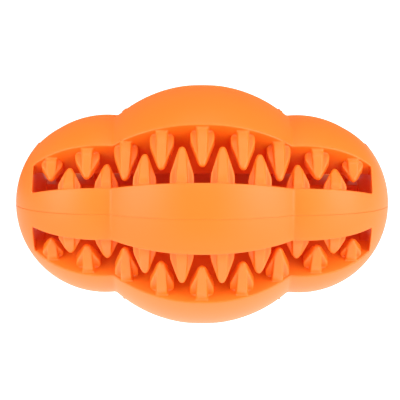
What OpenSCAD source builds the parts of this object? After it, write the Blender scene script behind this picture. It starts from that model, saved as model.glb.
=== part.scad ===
// Rubber chew toy: a hollow three-lobed body in two moulded halves, cut by six long slots.
// Each slot is lined with two interleaved rows of cross-ribbed teeth, one row on each wall.
// +X runs along the toy, the front band faces -Y, +Z is up, and the origin is the middle of the body.

/* [Body] */
// Length over the two rounded ends
body_length = 110.5; // [92:0.5:132]
// Diameter of the middle lobe, before its crown is trimmed to the land by about a tenth of a millimetre
body_diameter = 72; // [60:0.5:86]
// Length of the narrow straight land round the crown of the middle lobe, on which the toy rests
land_length = 6; // [4:0.5:8]
// Radius of the middle lobe's outline along the toy
middle_arc_radius = 38.7; // [33:0.1:46]
// Diameter of the rounded lobe at each end
end_lobe_diameter = 53.5; // [46:0.5:62]
// Radius of the small arc that fills the crease between two lobes
crease_radius = 1.5; // [1:0.1:2.5]

/* [Slots] */
// Opening angle of each slot, seen from the end of the toy
slot_angle = 28; // [24:0.5:34]
// Rubber left between the slots and the pole of each end lobe
end_thickness = 7; // [5.5:0.1:8.5]
// Diameter of the hollow chamber that the slots open into
chamber_diameter = 27.6; // [22:0.2:32]

/* [Teeth] */
// Distance between neighbouring teeth of one row
tooth_pitch = 10.7; // [9.2:0.1:12.6]
// Least distance from a slot's end to the middle of its last tooth
end_tooth_margin = 5; // [4.6:0.1:6.2]
// Depth of the teeth's centre lines below the outer surface
tooth_inset = 4.5; // [4:0.1:5.4]
// Width across opposite ribs where the straight flanks of a tooth start, a third of the way up
tooth_width = 6.1; // [5.4:0.1:7]
// Radius of a tooth's rounded tip
tip_radius = 1; // [0.8:0.05:1.2]
// Thickness of the two ribs that cross in each tooth, at the wall
rib_thickness = 3.2; // [2.8:0.1:3.7]
// Thickness that the ribs' sides lean in to at the height of the tip
rib_tip_thickness = 2.3; // [2:0.1:2.6]

/* [Hidden] */

// Angles in degrees round the toy, from the front band upwards
slot_count = 6;
slot_spacing = 360 / slot_count;
first_slot = slot_spacing / 2;
band_half_angle = (slot_spacing - slot_angle) / 2;
facing_up = 1;
facing_down = -1;

// The body and the inside that its slots and chamber share
end_radius = end_lobe_diameter / 2;
end_centre = body_length / 2 - end_radius;
middle_arc_centre = body_diameter / 2 - middle_arc_radius;
land_radius = middle_arc_centre + sqrt(middle_arc_radius ^ 2 - (land_length / 2) ^ 2);
slot_half_length = body_length / 2 - end_thickness;
cut_reach = body_diameter;

// The crease's arc lies between the middle lobe and an end lobe, and runs a hair's breadth into each
crease_overlap = 0.02;
lobe_distance = norm([end_centre, middle_arc_centre]);
middle_to_crease = middle_arc_radius + crease_radius;
end_to_crease = end_radius + crease_radius;
crease_along = (lobe_distance ^ 2 + middle_to_crease ^ 2 - end_to_crease ^ 2) / (2 * lobe_distance);
crease_across = sqrt(middle_to_crease ^ 2 - crease_along ^ 2);
crease_x = (end_centre * crease_along + middle_arc_centre * crease_across) / lobe_distance;
crease_lift = (end_centre * crease_across - middle_arc_centre * crease_along) / lobe_distance;
crease_r = middle_arc_centre + crease_lift;

// Some teeth of a full row stand a small share of the pitch further out than even spacing would put them
full_row_nudge_shares = [[0, 0], [1, 0.05], [2, 0], [3, 0.03], [4, 0]];

// Teeth stand on each side of the middle, from a tooth in the middle of the full rows
last_full_place = floor((slot_half_length - end_tooth_margin) / tooth_pitch);
last_between_place = floor((slot_half_length - end_tooth_margin) / tooth_pitch - 1 / 2);
full_row_places = [for (i = [-last_full_place : last_full_place]) nudged(i) * tooth_pitch];
between_row_places = [for (i = [-last_between_place - 1 : last_between_place]) (i + 1 / 2) * tooth_pitch];

// Height of a tooth as a share of the gap that it stands in, along half of the slot's length
full_row_height_shares = [[0, 0.735], [0.23, 0.76], [0.44, 0.91], [0.67, 0.77], [0.89, 0.675]];
between_row_height_shares = [[0.11, 0.715], [0.33, 0.68], [0.55, 0.695], [0.78, 0.655]];

// Width of a tooth as a share of tooth_width, along half of the slot's length
full_row_width_shares = [[0, 1], [0.44, 1], [0.67, 1.03], [0.89, 0.89]];
between_row_width_shares = [[0.11, 0.985], [0.33, 0.955], [0.55, 0.985], [0.78, 0.94]];

// Shares of a tooth's height at which its upright foot ends, and at which its straight flanks start
foot_share = 0.16;
shoulder_share = 0.34;

body_orange = "#ff9a3c";
tooth_orange = "#ff8a2c";
body_sides = 180;
tooth_sides = 96;

// Radius of the lobes' arcs at a place along the toy, from which the teeth are set in
function body_radius(x) = max(
    middle_arc_centre + sqrt(max(0, middle_arc_radius ^ 2 - x ^ 2)),
    sqrt(max(0, end_radius ^ 2 - (abs(x) - end_centre) ^ 2))
);

// Distance of a tooth's centre line from the toy's axis
function tooth_radius(x) = body_radius(x) - tooth_inset;

// Straight gap between the two walls of a slot where a tooth stands
function slot_gap(x) = 2 * tooth_radius(x) * sin(slot_angle / 2);

function tooth_height(x, shares) = slot_gap(x) * lookup(abs(x) / slot_half_length, shares);

function half_width(x, shares) = tooth_width / 2 * lookup(abs(x) / slot_half_length, shares);

// Place of a full row's tooth, counted from the middle in pitches
function nudged(i) = i + sign(i) * lookup(abs(i), full_row_nudge_shares);

// Angle at which a flank leans in, from its shoulder up to where it touches the round tip
function flank_lean(half, rise) = atan2(half, rise) - asin(tip_radius / norm([half, rise]));

// Outline of the three lobes on one side of the axis, with the axis upright and the crown trimmed to its land
module lobe_outline() {
    intersection() {
        union() {
            translate([middle_arc_centre, 0]) circle(r = middle_arc_radius, $fn = body_sides);
            end_lobe_outline();
            mirror([0, 1]) end_lobe_outline();
        }
        translate([0, -body_length]) square([land_radius, 2 * body_length]);
    }
}

// One end lobe, and the rubber that rounds the crease between it and the middle lobe
module end_lobe_outline() {
    translate([0, end_centre]) circle(r = end_radius, $fn = body_sides);
    difference() {
        polygon([[middle_arc_centre, 0], [crease_r, crease_x], [0, end_centre]]);
        translate([crease_r, crease_x]) circle(r = crease_radius + crease_overlap, $fn = body_sides);
    }
}

// One slot as a wedge from the axis outwards, seen from the end
module slot_wedge(angle) {
    rotate(angle) polygon([
        [0, 0],
        [cut_reach * cos(slot_angle / 2), -cut_reach * sin(slot_angle / 2)],
        [cut_reach * cos(slot_angle / 2), cut_reach * sin(slot_angle / 2)]
    ]);
}

// Stands what is drawn seen from the end along +X
module along_toy() {
    rotate([90, 0, 90]) children();
}

// The hollow: six slots round one chamber, closed by flat walls at both ends
module hollow() {
    along_toy() linear_extrude(height = 2 * slot_half_length, center = true) {
        circle(d = chamber_diameter, $fn = body_sides);
        for (i = [0 : slot_count - 1]) slot_wedge(first_slot + i * slot_spacing);
    }
}

// Half of the body, with its flat joint face on the plane of the seam
module half_body() {
    difference() {
        along_toy() rotate_extrude(angle = 180, $fn = body_sides) lobe_outline();
        hollow();
    }
}

// Side view of a tooth on its wall: an upright foot, a bowed shoulder, straight flanks and a round tip
module tooth_outline(height, half) {
    foot = foot_share * height;
    shoulder = shoulder_share * height;
    tip_centre = height - tip_radius;
    lean = flank_lean(half, tip_centre - shoulder);
    bow = (shoulder - foot) / sin(lean);
    foot_half = half + bow * (1 - cos(lean));
    touch_half = tip_radius * cos(lean);
    touch = tip_centre + tip_radius * sin(lean);
    translate([-foot_half, 0]) square([2 * foot_half, foot]);
    intersection() {
        translate([bow - foot_half, foot]) circle(r = bow, $fn = tooth_sides);
        translate([foot_half - bow, foot]) circle(r = bow, $fn = tooth_sides);
        translate([-foot_half, 0]) square([2 * foot_half, shoulder]);
    }
    polygon([
        [-half, 0], [half, 0], [half, shoulder],
        [touch_half, touch], [-touch_half, touch], [-half, shoulder]
    ]);
    translate([0, tip_centre]) circle(r = tip_radius, $fn = tooth_sides);
}

module tooth_plate(height, half) {
    rotate([90, 0, 0]) linear_extrude(height = 2 * tooth_width, center = true) tooth_outline(height, half);
}

// A rib right across the tooth, with sides that lean in towards the tip
module rib(height) {
    rotate([90, 0, 0]) linear_extrude(height = 2 * tooth_width, center = true) polygon([
        [-rib_thickness / 2, 0],
        [rib_thickness / 2, 0],
        [rib_tip_thickness / 2, height],
        [-rib_tip_thickness / 2, height]
    ]);
}

// One tooth, standing on the wall: two crossed ribs, cut to the outline from two sides
module tooth(height, half) {
    intersection() {
        union() {
            rib(height);
            rotate(90) rib(height);
        }
        tooth_plate(height, half);
        rotate(90) tooth_plate(height, half);
    }
}

// A row of teeth on the wall at an angle round the toy, each tooth square to that wall
module tooth_row(wall_angle, facing, places, height_shares, width_shares) {
    color(tooth_orange) rotate([-wall_angle, 0, 0]) rotate([0, facing == facing_up ? 0 : 180, 0]) {
        for (x = places) {
            height = tooth_height(x, height_shares);
            translate([x, -tooth_radius(x), 0]) tooth(height, half_width(x, width_shares));
        }
    }
}

// Full rows, with a tooth in the middle, line every second band; the rows between face them
module full_row(band_angle, facing) {
    wall_angle = band_angle + facing * band_half_angle;
    tooth_row(wall_angle, facing, full_row_places, full_row_height_shares, full_row_width_shares);
}

module between_row(band_angle, facing) {
    wall_angle = band_angle + facing * band_half_angle;
    tooth_row(wall_angle, facing, between_row_places, between_row_height_shares, between_row_width_shares);
}

module upper_half() {
    color(body_orange) half_body();
}

module lower_half() {
    color(body_orange) rotate([180, 0, 0]) half_body();
}

module front_band_upper_teeth() {
    between_row(0, facing_up);
}

module front_band_lower_teeth() {
    between_row(0, facing_down);
}

module upper_front_band_front_teeth() {
    full_row(slot_spacing, facing_down);
}

module upper_front_band_top_teeth() {
    full_row(slot_spacing, facing_up);
}

module upper_back_band_top_teeth() {
    between_row(2 * slot_spacing, facing_down);
}

module upper_back_band_back_teeth() {
    between_row(2 * slot_spacing, facing_up);
}

module back_band_upper_teeth() {
    full_row(3 * slot_spacing, facing_down);
}

module back_band_lower_teeth() {
    full_row(3 * slot_spacing, facing_up);
}

module lower_back_band_back_teeth() {
    between_row(4 * slot_spacing, facing_down);
}

module lower_back_band_bottom_teeth() {
    between_row(4 * slot_spacing, facing_up);
}

module lower_front_band_bottom_teeth() {
    full_row(5 * slot_spacing, facing_down);
}

module lower_front_band_front_teeth() {
    full_row(5 * slot_spacing, facing_up);
}

upper_half();
lower_half();
front_band_upper_teeth();
front_band_lower_teeth();
upper_front_band_front_teeth();
upper_front_band_top_teeth();
upper_back_band_top_teeth();
upper_back_band_back_teeth();
back_band_upper_teeth();
back_band_lower_teeth();
lower_back_band_back_teeth();
lower_back_band_bottom_teeth();
lower_front_band_bottom_teeth();
lower_front_band_front_teeth();
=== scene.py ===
"""Looks of the rubber chew toy: two moulded halves and twelve rows of ribbed teeth, on a lit white table.

The toy's length is along X, the band that faces the camera is at -Y, and +Z is up. Everything is in metres.
"""

import bmesh
import bpy
import numpy as np
from mathutils import Matrix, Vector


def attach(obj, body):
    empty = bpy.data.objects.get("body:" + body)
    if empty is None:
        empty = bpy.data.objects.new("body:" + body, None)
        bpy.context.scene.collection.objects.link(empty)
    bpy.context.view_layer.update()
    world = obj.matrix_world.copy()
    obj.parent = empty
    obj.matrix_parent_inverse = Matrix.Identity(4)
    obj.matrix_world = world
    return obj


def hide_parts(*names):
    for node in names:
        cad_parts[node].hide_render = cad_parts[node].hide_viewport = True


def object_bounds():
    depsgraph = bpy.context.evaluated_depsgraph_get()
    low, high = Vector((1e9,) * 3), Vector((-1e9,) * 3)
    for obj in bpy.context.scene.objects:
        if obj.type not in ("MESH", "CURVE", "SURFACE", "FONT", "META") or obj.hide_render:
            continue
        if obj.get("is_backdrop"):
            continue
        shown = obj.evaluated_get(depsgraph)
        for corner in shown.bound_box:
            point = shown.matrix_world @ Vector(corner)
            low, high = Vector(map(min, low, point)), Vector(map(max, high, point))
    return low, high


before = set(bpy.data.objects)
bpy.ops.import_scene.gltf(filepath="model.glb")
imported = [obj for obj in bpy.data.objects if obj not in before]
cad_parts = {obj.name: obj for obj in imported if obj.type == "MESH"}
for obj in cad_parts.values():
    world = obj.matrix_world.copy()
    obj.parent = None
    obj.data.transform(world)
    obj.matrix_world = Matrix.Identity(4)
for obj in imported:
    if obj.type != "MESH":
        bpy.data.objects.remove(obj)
cad_low, cad_high = (np.array(corner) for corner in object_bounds())


# The moulded halves.
# Each half of the real toy is one injection moulding of solid orange rubber, with three round lobes round a
# chamber. Six wedge-shaped slots cut it into bands that run between the two end walls. The halves are bonded
# at the seam.
mm = 0.001
body_length = cad_high[0] - cad_low[0]
# The toy rests on a straight land round the crown of the middle lobe, where the CAD is widest.
land_radius = cad_high[1]
land_half, crown_half = 3 * mm, 6 * mm
middle_arc_radius = 38.7 * mm
end_radius = 26.75 * mm
crease_radius = 1.5 * mm
chamber_radius = 13.8 * mm
end_thickness = 7 * mm
band_pitch = np.radians(60)
slot_angle = np.radians(28)
band_angle = band_pitch - slot_angle
end_centre = body_length / 2 - end_radius
middle_arc_centre = land_radius - np.sqrt(middle_arc_radius**2 - land_half**2)
slot_half_length = body_length / 2 - end_thickness


def crease_arc():
    """Centre (x, r) of the small arc that fills the crease, tangent to the middle arc and the end lobe.

    It lies where circles of radius (middle arc + crease) and (end lobe + crease) round the two centres cross.
    """
    to_middle = middle_arc_radius + crease_radius
    to_end = end_radius + crease_radius
    between = np.hypot(end_centre, middle_arc_centre)
    along = (between**2 + to_middle**2 - to_end**2) / (2 * between)
    across = np.sqrt(to_middle**2 - along**2)
    ux, ur = end_centre / between, -middle_arc_centre / between
    return ux * along - ur * across, middle_arc_centre + ur * along + ux * across


crease_x, crease_r = crease_arc()
crease_start = crease_x * middle_arc_radius / (middle_arc_radius + crease_radius)
crease_end = end_centre + (crease_x - end_centre) * end_radius / (end_radius + crease_radius)


def arcs_radius(x):
    """Radius of the lobes' arcs at x: middle arc, then the crease's small arc, then the end lobe's arc."""
    away = np.abs(x)
    middle = middle_arc_centre + np.sqrt(np.maximum(middle_arc_radius**2 - away**2, 0))
    crease = crease_r - np.sqrt(np.maximum(crease_radius**2 - (away - crease_x) ** 2, 0))
    end = np.sqrt(np.maximum(end_radius**2 - (away - end_centre) ** 2, 0))
    return np.where(away < crease_start, middle, np.where(away < crease_end, crease, end))


def lobe_radius(x):
    """Radius of the outer surface at x: the lobes' arcs, trimmed at the crown to the land it rests on.

    The land is eased in by a fourth-degree curve, level in the middle, that joins the middle arc smoothly.
    """
    crown_end = arcs_radius(crown_half)
    drop = land_radius - crown_end
    slope = crown_half**2 / (crown_end - middle_arc_centre)
    share = (x / crown_half) ** 2
    crown = land_radius - (2 * drop - slope / 2) * share - (slope / 2 - drop) * share**2
    return np.where(np.abs(x) < crown_half, crown, arcs_radius(x))


def on_body(x, r, angle):
    """Point at x along the toy, r from its axis, angle round it from the front (-Y) upwards (+Z)."""
    x, r, angle = np.broadcast_arrays(x, r, angle)
    return np.stack([x, -r * np.cos(angle), r * np.sin(angle)], axis=-1)


def stops(*spans):
    """One row of rising values: each span is (start, end, number of steps), and the spans join end to end."""
    rows = [np.linspace(start, end, steps, endpoint=False) for start, end, steps in spans]
    return np.append(np.concatenate(rows), spans[-1][1])


join_distance = 0.002 * mm


def mesh_of(name, patches):
    """One closed mesh from patches, each a grid of points: shared points joined, faces turned outwards."""
    points, faces, start = [], [], 0
    for patch in patches:
        rows, columns = patch.shape[:2]
        index = start + np.arange(rows * columns).reshape(rows, columns)
        corners = [index[:-1, :-1], index[1:, :-1], index[1:, 1:], index[:-1, 1:]]
        faces.append(np.stack(corners, axis=-1).reshape(-1, 4))
        points.append(patch.reshape(-1, 3))
        start += rows * columns
    mesh = bpy.data.meshes.new(name)
    mesh.from_pydata(np.concatenate(points), [], np.concatenate(faces))
    build = bmesh.new()
    build.from_mesh(mesh)
    bmesh.ops.remove_doubles(build, verts=build.verts, dist=join_distance)
    bmesh.ops.recalc_face_normals(build, faces=build.faces)
    build.to_mesh(mesh)
    build.free()
    mesh.shade_smooth()
    return mesh


def half_mesh(name, turn):
    """Closed half of the body between the angles turn and turn + 180 degrees.

    The outer skin is a grid over (x, angle), left open over the slots. Slot walls run straight in to the
    chamber's cylinder, the end walls close both, and a flat joint face lies on the plane of the seam. Beside
    every sharp edge the grid is wider than the edge's rounding, so that the rounding folds no face over. Only
    at the poles, where the columns run together, do a few tiny faces beside the seam still fold.
    """
    band_edges = [0, band_angle / 2]
    for _ in range(3):
        band_edges += [band_edges[-1] + slot_angle, band_edges[-1] + slot_angle + band_angle]
    # The first and the last are half bands, cut by the seam.
    band_edges[-1] = np.pi
    # Steps round the body in each span between these edges.
    steps = (4, 12, 16, 12, 16, 12, 4)
    middle_x = stops((0, crease_start, 30), (crease_start, crease_end, 8), (crease_end, slot_half_length, 28))
    wall_rows = 9
    depth = np.linspace(0, 1, wall_rows)[:, None]
    inner = chamber_radius * depth
    outer = chamber_radius + (lobe_radius(slot_half_length) - chamber_radius) * depth
    end_wall_r = np.concatenate([inner[:-1, 0], outer[:, 0]])
    past_slot = np.arccos((slot_half_length - end_centre) / end_radius)
    cap_x = end_centre + end_radius * np.cos(np.linspace(past_slot, 0, len(end_wall_r)))
    right_x = np.concatenate([middle_x[:-1], cap_x])
    skin_x = np.concatenate([-right_x[:0:-1], right_x])[:, None]
    slot_x = np.concatenate([-middle_x[:0:-1], middle_x])
    patches = []
    for k, span in enumerate(zip(band_edges, band_edges[1:], steps)):
        angle = turn + stops(span)
        is_band = k % 2 == 0
        if is_band:
            patches.append(on_body(skin_x, lobe_radius(skin_x), angle))
            patches.append(on_body(slot_x[:, None], chamber_radius, angle))
        for side in (-1, 1):
            patches.append(on_body(side * slot_half_length, inner, angle))
            if not is_band:
                patches.append(on_body(side * slot_half_length, outer, angle))
                patches.append(on_body(side * cap_x[:, None], lobe_radius(cap_x[:, None]), angle))
    wall_r = chamber_radius + (lobe_radius(slot_x) - chamber_radius) * depth
    for angle in turn + np.array(band_edges):
        patches.append(on_body(slot_x, wall_r, angle))
    joint_x = np.stack([np.full(len(cap_x), slot_half_length), cap_x])
    joint_r = np.stack([end_wall_r[::-1], lobe_radius(cap_x)])
    for angle in (turn, turn + np.pi):
        for side in (-1, 1):
            patches.append(on_body(side * joint_x, joint_r, angle))
    return mesh_of(name, patches)


edge_rounding = 0.38 * mm
sharp_angle = np.radians(25)
seam_share, seam_end_share = 0.25, 0.5
pole_share, pole_reach = 0.1, 12 * mm
seam_tolerance = 0.01 * mm


def round_edges(piece):
    """Rounds every sharp edge, and those on the plane of the seam (z = 0) by only a share of that.

    The share grows from the crease to the slots' ends, and falls again to pole_share at the toy's two poles,
    where the grid's columns run together.
    """
    build = bmesh.new()
    build.from_mesh(piece.data)
    weight = build.edges.layers.float.new("bevel_weight_edge")
    for edge in build.edges:
        if edge.calc_face_angle(0) > sharp_angle:
            ends = [vertex.co for vertex in edge.verts]
            on_seam = all(abs(end.z) < seam_tolerance for end in ends)
            away = np.clip((abs(ends[0].x) - crease_start) / (slot_half_length - crease_start), 0, 1)
            share = seam_share + (seam_end_share - seam_share) * away
            near_pole = pole_share + min(abs(end.y) for end in ends) / pole_reach
            edge[weight] = min(share, near_pole) if on_seam else 1
    build.to_mesh(piece.data)
    build.free()
    bevel = piece.modifiers.new("moulded_edges", "BEVEL")
    bevel.limit_method = "WEIGHT"
    bevel.width = edge_rounding
    bevel.segments = 3
    bevel.use_clamp_overlap = False
    piece.modifiers.new("flat_walls", "WEIGHTED_NORMAL").keep_sharp = False


def linear(hex_colour):
    """sRGB hex colour as linear red, green, blue and full alpha."""
    srgb = np.array([int(hex_colour[i : i + 2], 16) / 255 for i in (1, 3, 5)])
    return (*np.where(srgb <= 0.04045, srgb / 12.92, ((srgb + 0.055) / 1.055) ** 2.4), 1)


def add_node(tree, kind, settings=None, **links):
    """Adds a node, sets its properties and inputs by name, and links inputs to other nodes' outputs."""
    node = tree.nodes.new(kind)
    for key, value in (settings or {}).items():
        if key in node.inputs:
            node.inputs[key].default_value = value
        else:
            setattr(node, key, value)
    for key, output in links.items():
        tree.links.new(output, node.inputs[key.replace("_", " ")])
    return node


# The mould's real grain is about 0.1 mm, too fine to show, so it is drawn at 0.45 mm.
mould_grain, grain_depth, grain_strength = 0.45 * mm, 0.03 * mm, 0.12
cloud_size = 14 * mm
core_half_size = (55 * mm, 28 * mm, 28 * mm)
core_matt_share = 0.85
satin, matt = 0.48, 0.85


def moulded_rubber():
    """Orange thermoplastic rubber, injection moulded.

    The outer skin is dense and satin: broad soft highlights from the fine texture of the mould, and colour
    that stays even. The mould's core leaves the slots and the chamber matt, so they show hardly any
    highlight. The core's region is an ellipsoid inside the skin: matt within core_matt_share of its size,
    satin from its surface.
    """
    material = bpy.data.materials.new("thermoplastic_rubber_moulded_orange")
    material.use_nodes = True
    tree = material.node_tree
    tree.nodes.clear()
    place = add_node(tree, "ShaderNodeTexCoord").outputs["Object"]
    grain = add_node(tree, "ShaderNodeTexNoise", {"Scale": 1 / mould_grain, "Detail": 3.0}, Vector=place)
    relief = {"Strength": grain_strength, "Distance": grain_depth}
    bump = add_node(tree, "ShaderNodeBump", relief, Height=grain.outputs["Fac"])
    clouds = add_node(tree, "ShaderNodeTexNoise", {"Scale": 1 / cloud_size, "Detail": 2.0}, Vector=place)
    # A colour mix's own sockets: 0 is its factor, 6 and 7 are the two colours, and output 2 is the result.
    colour = add_node(tree, "ShaderNodeMix", {"data_type": "RGBA"})
    colour.inputs[6].default_value = linear("#f3730c")
    colour.inputs[7].default_value = linear("#f37109")
    tree.links.new(clouds.outputs["Fac"], colour.inputs[0])
    core = add_node(tree, "ShaderNodeVectorMath", {"operation": "DIVIDE"})
    core.inputs[1].default_value = core_half_size
    tree.links.new(place, core.inputs[0])
    outwards = add_node(tree, "ShaderNodeVectorMath", {"operation": "LENGTH"}, Vector=core.outputs["Vector"])
    core_to_skin = {"From Min": core_matt_share, "From Max": 1.0, "To Min": matt, "To Max": satin}
    roughness = add_node(tree, "ShaderNodeMapRange", core_to_skin, Value=outwards.outputs["Value"])
    rubber = add_node(
        tree,
        "ShaderNodeBsdfPrincipled",
        {"IOR": 1.5},
        Base_Color=colour.outputs[2],
        Normal=bump.outputs["Normal"],
        Roughness=roughness.outputs["Result"],
    )
    add_node(tree, "ShaderNodeOutputMaterial", Surface=rubber.outputs["BSDF"])
    return material


rubber = moulded_rubber()


def add_piece(name, mesh, node):
    """Puts the mesh in the scene as the piece that stands for a CAD node, in the toy's one rubber."""
    piece = bpy.data.objects.new(name, mesh)
    bpy.context.collection.objects.link(piece)
    mesh.materials.append(rubber)
    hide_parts(node)
    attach(piece, "root")
    return piece


for half, turn in (("upper_half", 0), ("lower_half", np.pi)):
    round_edges(add_piece(half + "_moulding", half_mesh(half, turn), half))


# The teeth.
# Each tooth is moulded in one with its band: a pointed, round-tipped form of two crossed ribs, square to the
# wall. Rows with a tooth in the middle face rows that stand between their teeth, so the two interleave
# across a slot.
tooth_inset = 4.5 * mm
tip_radius = 1.0 * mm
foot_share, shoulder_share = 0.16, 0.34
rib_half_at_tip = 1.15 * mm
rib_half_at_wall = 1.6 * mm
rib_corner = 0.45 * mm
rib_valley = 0.4 * mm
root_height = 0.8 * mm
root_tuck, root_flare = 0.5 * mm, 0.3 * mm
under_wall = 0.3 * mm
narrow_arm, corner_growth = 1.5 * mm, 0.9
valley_share, hairline = 0.8, 1e-6 * mm

# Each tooth is (place along the toy in mm, height as a share of the gap, width at the shoulder in mm).
full_row = [(0, 0.735, 6.1), (11.2, 0.76, 6.1), (21.35, 0.91, 6.1), (32.4, 0.77, 6.3), (42.8, 0.675, 5.45)]
between_row = [(5.55, 0.715, 6.0), (15.85, 0.68, 5.85), (26.75, 0.695, 6.0), (37.3, 0.655, 5.75)]


def tooth_height(x, share):
    """Height of the tooth at x: a share of the straight gap across the slot at the tooth's centre line."""
    return share * 2 * (arcs_radius(x) - tooth_inset) * np.sin(slot_angle / 2)


def side_view(level, half_width, height):
    """Half width at a level above the wall: upright foot, bowed shoulder, straight leaning flank, round tip.

    half_width is that at the shoulder's top. The flank touches the tip's circle, and the bow, an arc, touches
    foot and flank.
    """
    foot, shoulder, tip_centre = foot_share * height, shoulder_share * height, height - tip_radius
    rise = tip_centre - shoulder
    lean = np.arctan2(half_width, rise) - np.arcsin(tip_radius / np.hypot(half_width, rise))
    bow = (shoulder - foot) / np.sin(lean)
    foot_half = half_width + bow * (1 - np.cos(lean))
    bowed = foot_half - bow + np.sqrt(bow**2 - np.clip(level - foot, 0, shoulder - foot) ** 2)
    flank = half_width - (level - shoulder) * np.tan(lean)
    tip = np.sqrt(np.maximum(tip_radius**2 - (level - tip_centre) ** 2, 0))
    above_shoulder = np.where(level < tip_centre + tip_radius * np.sin(lean), flank, tip)
    return np.where(level < shoulder, bowed, above_shoulder)


def rounded_cross(across, up, side_arm, front_arm, rib):
    """Signed distance to a plus shape: two crossed bars with rounded corners, joined by rounded valleys.

    Near the tip, where the arms are narrow, the corners grow rounder and the valleys close.
    """
    arm = np.minimum(side_arm, front_arm)
    corner = np.minimum(rib, rib_corner + corner_growth * np.maximum(narrow_arm - arm, 0))

    def bar(half_a, half_b):
        qa, qb = np.abs(across) - half_a + corner, np.abs(up) - half_b + corner
        outside = np.hypot(np.maximum(qa, 0), np.maximum(qb, 0))
        return outside + np.minimum(np.maximum(qa, qb), 0) - corner

    first, second = bar(side_arm, rib), bar(rib, front_arm)
    # The hairline keeps the blend from dividing by zero where a valley closes.
    valley = np.minimum(rib_valley, valley_share * (arm - rib)) + hairline
    blend = np.maximum(valley - np.abs(first - second), 0)
    return np.minimum(first, second) - blend**2 / (4 * valley)


def tooth_surface(height, half_width):
    """Grid of points of one tooth on its wall, as (along the toy, away from the axis, off the wall).

    Rows go from the tip to just under the wall, and each is the plus shape of that level's width. Its radius
    at each angle is found by halving the span in which the signed distance changes sign. At the wall the side
    ribs end round, and the ribs that face outwards and inwards flare into it.
    """
    tip_levels, flank_levels, root_levels = 8, 16, 10
    levels = np.concatenate([
        height - tip_radius + tip_radius * np.cos(np.linspace(0, np.pi / 2, tip_levels + 1)[:-1]),
        np.linspace(height - tip_radius, root_height, flank_levels + 1)[:-1],
        np.linspace(root_height, 0, root_levels),
        [-under_wall],
    ])
    arm = side_view(levels, half_width, height)
    near_wall = np.clip(1 - levels / root_height, 0, 1)
    side_arm, flare = arm - root_tuck * near_wall**3, root_flare * near_wall**3
    rib = rib_half_at_tip + (rib_half_at_wall - rib_half_at_tip) * (height - levels) / height
    rib = np.minimum(side_arm, rib + flare)
    arm, side_arm, front_arm, rib = (size[:, None] for size in (arm, side_arm, arm + flare, rib))
    # The columns stand closest near the ribs' eight corners.
    columns, corners, crowding = 96, 8, 0.6
    turn = np.linspace(0, 2 * np.pi, columns + 1)
    angle = turn + crowding * np.sin(corners * turn) / corners
    low, high = np.zeros((len(levels), len(angle))), np.full((len(levels), len(angle)), 2 * half_width)
    halvings = 28
    for _ in range(halvings):
        middle = (low + high) / 2
        outside = rounded_cross(middle * np.cos(angle), middle * np.sin(angle), side_arm, front_arm, rib) > 0
        low, high = np.where(outside, low, middle), np.where(outside, middle, high)
    radius = np.concatenate([np.where(arm > 0, low, 0), np.zeros((1, len(angle)))])
    rise = np.append(levels, levels[-1])[:, None]
    return np.stack(np.broadcast_arrays(radius * np.cos(angle), radius * np.sin(angle), rise), axis=-1)


def tooth_row(band, facing, teeth):
    """The teeth of one band's row, on both sides of the middle, each turned square to its wall."""
    wall = band_pitch * band + facing * band_angle / 2
    outwards = on_body(0, 1, wall)
    off_wall = facing * on_body(0, 1, wall + np.pi / 2)
    along = np.array([1.0, 0, 0])
    patches = []
    for place, share, width in teeth:
        tooth = tooth_surface(float(tooth_height(place * mm, share)), width / 2 * mm)
        for x in {-place * mm, place * mm}:
            middle = along * x + outwards * (arcs_radius(x) - tooth_inset)
            patches.append(middle + tooth @ np.array([along, outwards, off_wall]))
    return patches


# Each row stands on a band, counted from the front upwards, and faces up (1) or down (-1) round the toy.
tooth_rows = {
    "front_band_upper_teeth": (0, 1),
    "front_band_lower_teeth": (0, -1),
    "upper_front_band_front_teeth": (1, -1),
    "upper_front_band_top_teeth": (1, 1),
    "upper_back_band_top_teeth": (2, -1),
    "upper_back_band_back_teeth": (2, 1),
    "back_band_upper_teeth": (3, -1),
    "back_band_lower_teeth": (3, 1),
    "lower_back_band_back_teeth": (4, -1),
    "lower_back_band_bottom_teeth": (4, 1),
    "lower_front_band_bottom_teeth": (5, -1),
    "lower_front_band_front_teeth": (5, 1),
}
for node, (band, facing) in tooth_rows.items():
    teeth = full_row if band % 2 else between_row
    piece = add_piece(node + "_moulding", mesh_of(node, tooth_row(band, facing, teeth)), node)
    piece.modifiers.new("flat_ribs", "WEIGHTED_NORMAL").keep_sharp = False


# The studio.
# A white acrylic table lit from below, with a low white screen behind it, in a dim room with one bright
# corner. Softboxes stand to the left, to the right, in front and above. The table glows so strongly that it
# shows no shadow.
def feed(tree, socket, value):
    """Gives a socket a number, or links it to a node's output."""
    if isinstance(value, float):
        socket.default_value = value
    else:
        tree.links.new(value, socket)


def combine(tree, operation, first, second):
    """Sum or product of two values, each a number or a node's output."""
    node = add_node(tree, "ShaderNodeMath", {"operation": operation})
    feed(tree, node.inputs[0], first)
    feed(tree, node.inputs[1], second)
    return node.outputs["Value"]


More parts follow.
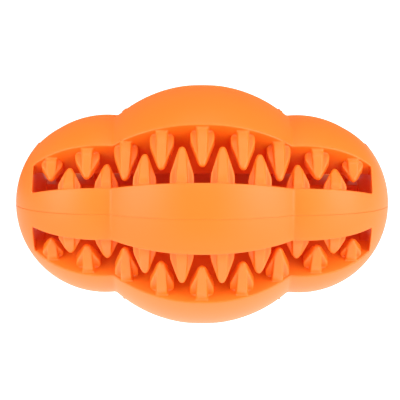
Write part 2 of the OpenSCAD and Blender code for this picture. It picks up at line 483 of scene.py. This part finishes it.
def lit_patches(tree, place, patches):
    """Strength of light over a surface: a sum of patches, each a brightness times soft steps.

    A step (axis, start, end) goes smoothly from 0 at start to 1 at end, along X, Y, Z or the radius R.
    """
    axes = add_node(tree, "ShaderNodeSeparateXYZ", Vector=place)
    radius = add_node(tree, "ShaderNodeVectorMath", {"operation": "LENGTH"}, Vector=place)
    total = None
    for brightness, steps in patches:
        product = brightness
        for axis, start, end in steps:
            span = {
                "interpolation_type": "SMOOTHSTEP",
                "From Min": min(start, end),
                "From Max": max(start, end),
                "To Min": float(start > end),
                "To Max": float(start < end),
            }
            along = radius.outputs["Value"] if axis == "R" else axes.outputs[axis]
            step = add_node(tree, "ShaderNodeMapRange", span, Value=along).outputs["Result"]
            product = combine(tree, "MULTIPLY", product, step)
        total = product if total is None else combine(tree, "ADD", total, product)
    return total


def studio_sheet(name, corners, patches):
    """A flat sheet of lit white acrylic between two rows of two corners."""
    sheet = bpy.data.objects.new(name, mesh_of(name, [np.array(corners, dtype=float)]))
    bpy.context.collection.objects.link(sheet)
    material = bpy.data.materials.new("lit_white_acrylic_" + name)
    material.use_nodes = True
    tree = material.node_tree
    tree.nodes.clear()
    place = add_node(tree, "ShaderNodeTexCoord").outputs["Object"]
    glow = add_node(tree, "ShaderNodeEmission", {"Color": (1, 1, 1, 1)})
    feed(tree, glow.inputs["Strength"], lit_patches(tree, place, patches))
    add_node(tree, "ShaderNodeOutputMaterial", Surface=glow.outputs["Emission"])
    sheet.data.materials.append(material)
    sheet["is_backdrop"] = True


table_z, table_reach = cad_low[2], 6
screen_y, screen_half, screen_top = 0.9, 0.32, 0.12
table_corners = [
    [[-table_reach, -table_reach, table_z], [table_reach, -table_reach, table_z]],
    [[-table_reach, screen_y, table_z], [table_reach, screen_y, table_z]],
]
screen_corners = [
    [[-screen_half, screen_y, table_z], [screen_half, screen_y, table_z]],
    [[-screen_half, screen_y, screen_top], [screen_half, screen_y, screen_top]],
]
table_patches = [
    (1.7, [("R", 0.115, 0.065)]),  # under the toy
    (1.49, [("R", 0.065, 0.115), ("Y", 0.02, 0.1)]),  # behind it
    (1.52, [("R", 0.065, 0.115), ("Y", 0.1, 0.02), ("X", 0.03, 0.1)]),  # to its right
    (1.16, [("R", 0.065, 0.115), ("Y", 0.1, 0.02), ("X", -0.03, -0.1)]),  # to its left
    (0.42, [("R", 0.065, 0.115), ("Y", -0.02, -0.1)]),  # in front of it
    (0.52, [("R", 0.065, 0.095), ("R", 0.14, 0.105), ("Y", -0.05, -0.08)]),  # the picture's lower edge
]
screen_patches = [(1.5, [])]  # the same all over
studio_sheet("studio_table", table_corners, table_patches)
studio_sheet("studio_screen", screen_corners, screen_patches)

room_patches = [
    (0.41, [("Z", 0, 0.1), ("Y", 0.2, -0.2), ("X", -0.2, 0.2)]),  # front right
    (0.37, [("Z", 0.05, 0.25), ("Y", -0.2, 0.2)]),  # high up behind
    (1.69, [("Z", 0.25, 0.05), ("Y", -0.2, 0.2), ("X", -0.2, 0.2)]),  # low down, behind on the right
]
room = bpy.data.worlds.new("studio")
bpy.context.scene.world = room
room.use_nodes = True
room.node_tree.nodes.clear()
room_place = add_node(room.node_tree, "ShaderNodeTexCoord").outputs["Generated"]
room_light = lit_patches(room.node_tree, room_place, room_patches)
room_glow = add_node(room.node_tree, "ShaderNodeBackground", {"Color": (1, 1, 1, 1)}, Strength=room_light)
add_node(room.node_tree, "ShaderNodeOutputWorld", Surface=room_glow.outputs["Background"])

softbox_width, softbox_height, softbox_distance = 0.6, 0.8, 0.9


def softbox(name, azimuth, elevation, radiance):
    """A white softbox that faces the toy from an azimuth (0 is the front, 90 the right) and an elevation."""
    azimuth, elevation = np.radians(azimuth), np.radians(elevation)
    level = np.cos(elevation)
    back = np.array([np.sin(azimuth) * level, -np.cos(azimuth) * level, np.sin(elevation)])
    right = np.cross([0, 0, 1.0], back)
    right /= np.linalg.norm(right)
    data = bpy.data.lights.new(name, "AREA")
    data.shape = "RECTANGLE"
    data.size, data.size_y = softbox_width, softbox_height
    data.energy = radiance * np.pi * data.size * data.size_y
    lamp = bpy.data.objects.new(name, data)
    matrix = np.eye(4)
    matrix[:3] = np.stack([right, np.cross(back, right), back, softbox_distance * back], axis=1)
    lamp.matrix_world = Matrix(matrix.tolist())
    bpy.context.collection.objects.link(lamp)


softbox("left_softbox", -55, 20, 4.55)
softbox("right_softbox", 55, 20, 4.56)
softbox("top_softbox", 0, 62, 1.95)
softbox("front_softbox", 0, 36, 0.5)
softbox("side_softbox", -95, 18, 0.32)
bpy.context.scene.view_settings.view_transform = "Standard"
bpy.context.scene.cycles.diffuse_bounces = 12
bpy.context.scene.cycles.max_bounces = 16


# The camera, at the photograph's place.
# It stands in front of the toy and a little above it, and looks slightly down; its view is 19 degrees wide.
camera_distance = 352 * mm
camera_elevation = np.radians(7.27)
camera_roll = np.radians(0.16)
picture_pixels, focal_pixels = 400, 1178.8
toy_centre_pixels = (2.03, -2.63)
sensor_width = 36


def photo_camera():
    """Camera that sees the toy's middle a little right of and below the picture's centre."""
    right = np.array([1.0, 0, 0])
    back = np.array([0, -np.cos(camera_elevation), np.sin(camera_elevation)])
    up = np.cross(back, right)
    turned_right = right * np.cos(camera_roll) + up * np.sin(camera_roll)
    turned_up = up * np.cos(camera_roll) - right * np.sin(camera_roll)
    metres_per_pixel = camera_distance / focal_pixels
    aim_x, aim_y = (metres_per_pixel * pixels for pixels in toy_centre_pixels)
    place = back * camera_distance - right * aim_x - up * aim_y
    data = bpy.data.cameras.new("photo_camera")
    data.sensor_width = sensor_width
    data.lens = focal_pixels / picture_pixels * sensor_width
    data.clip_start, data.clip_end = 0.01, 10
    camera = bpy.data.objects.new("photo_camera", data)
    matrix = np.eye(4)
    matrix[:3] = np.stack([turned_right, turned_up, back, place], axis=1)
    camera.matrix_world = Matrix(matrix.tolist())
    bpy.context.collection.objects.link(camera)
    bpy.context.scene.camera = camera


photo_camera()
